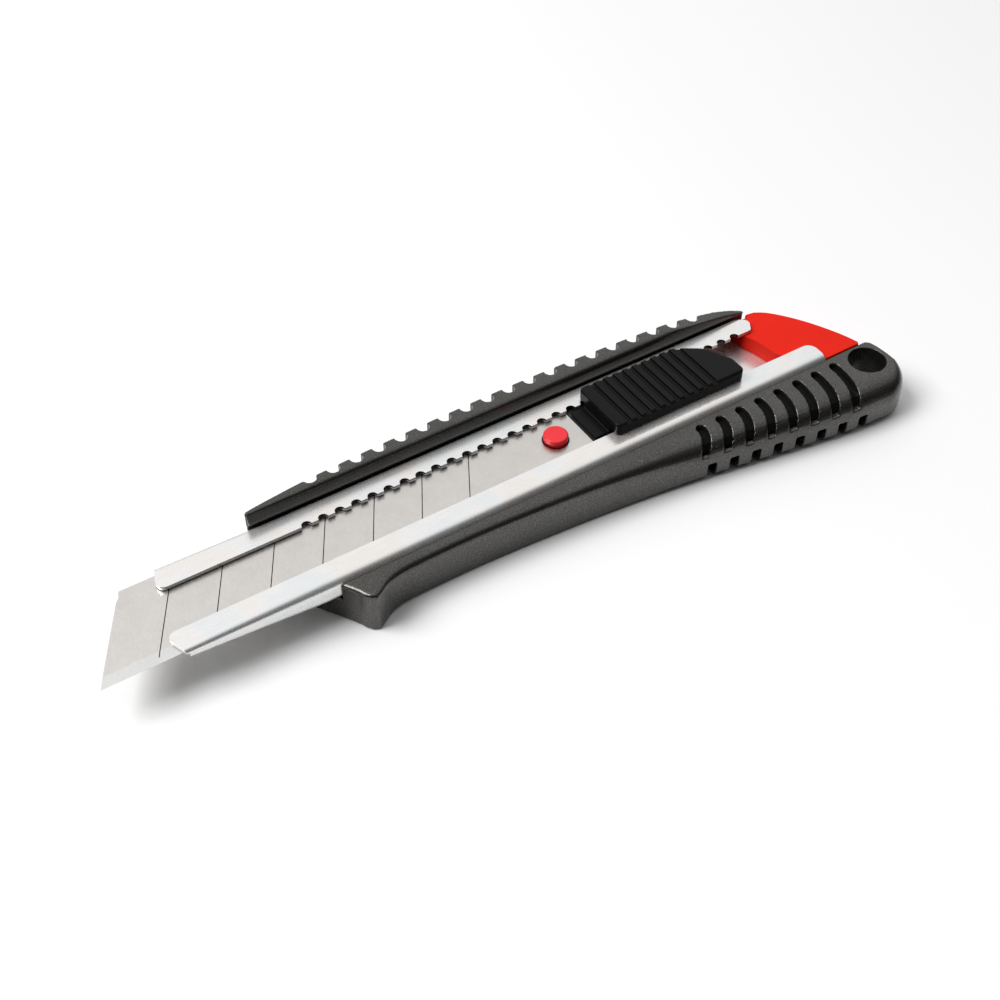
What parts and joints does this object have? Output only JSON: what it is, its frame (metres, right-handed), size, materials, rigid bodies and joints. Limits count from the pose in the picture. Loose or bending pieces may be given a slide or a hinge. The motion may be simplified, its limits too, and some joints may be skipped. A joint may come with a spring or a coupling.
{
  "type": "utility knife",
  "caption": "Snap-off utility knife with a die-cast handle, toothed steel sleeve, locking thumb slider, pegged blade carrier and a pull-off tail cap.",
  "frame": {"origin": "middle of the base box: centre of the box in X and Y, on the flat back in Z", "axes": "+X along the knife towards the tail, +Y across it towards the scalloped rail, +Z out of the slider's face"},
  "size_m": [0.165, 0.0368, 0.0133],
  "materials": {
    "casting": "gunmetal metallic paint, semi-gloss, fine fleck",
    "insert": "matte black elastomer",
    "sleeve": "bright rolled stainless",
    "rivet": "satin",
    "blade": "warm grey satin with a brighter ground edge",
    "carrier": "moulded, satin",
    "peg": "moulded, satin",
    "spring": "bright",
    "slider": "fine moulded texture",
    "cap": "smooth gloss"
  },
  "bodies": {
    "handle": {"handle_casting": "casting", "grip_insert": "insert", "blade_sleeve": "sleeve", "sleeve_rivets": "rivet"},
    "carriage": {"blade": "blade", "blade_carrier": "carrier", "blade_peg": "peg", "lock_spring": "spring", "spring_pin": "rivet"},
    "slider": {"thumb_slider": "slider"},
    "tail_cap": {"end_cap": "cap"}
  },
  "joints": [
    {"name": "blade_slide", "type": "slide", "parent": "handle", "child": "carriage", "axis": [1, 0, 0], "range_m": [-0.06667, 0.01333], "deforming": ["lock_spring"]},
    {"name": "thumb_travel", "type": "slide", "parent": "carriage", "child": "slider", "axis": [1, 0, 0], "range_m": [-0.0012, 0.0012], "stiffness_N_per_m": 900},
    {"name": "cap_pull", "type": "slide", "parent": "handle", "child": "tail_cap", "axis": [1, 0, 0], "range_m": [0, 0.022]}
  ]
}
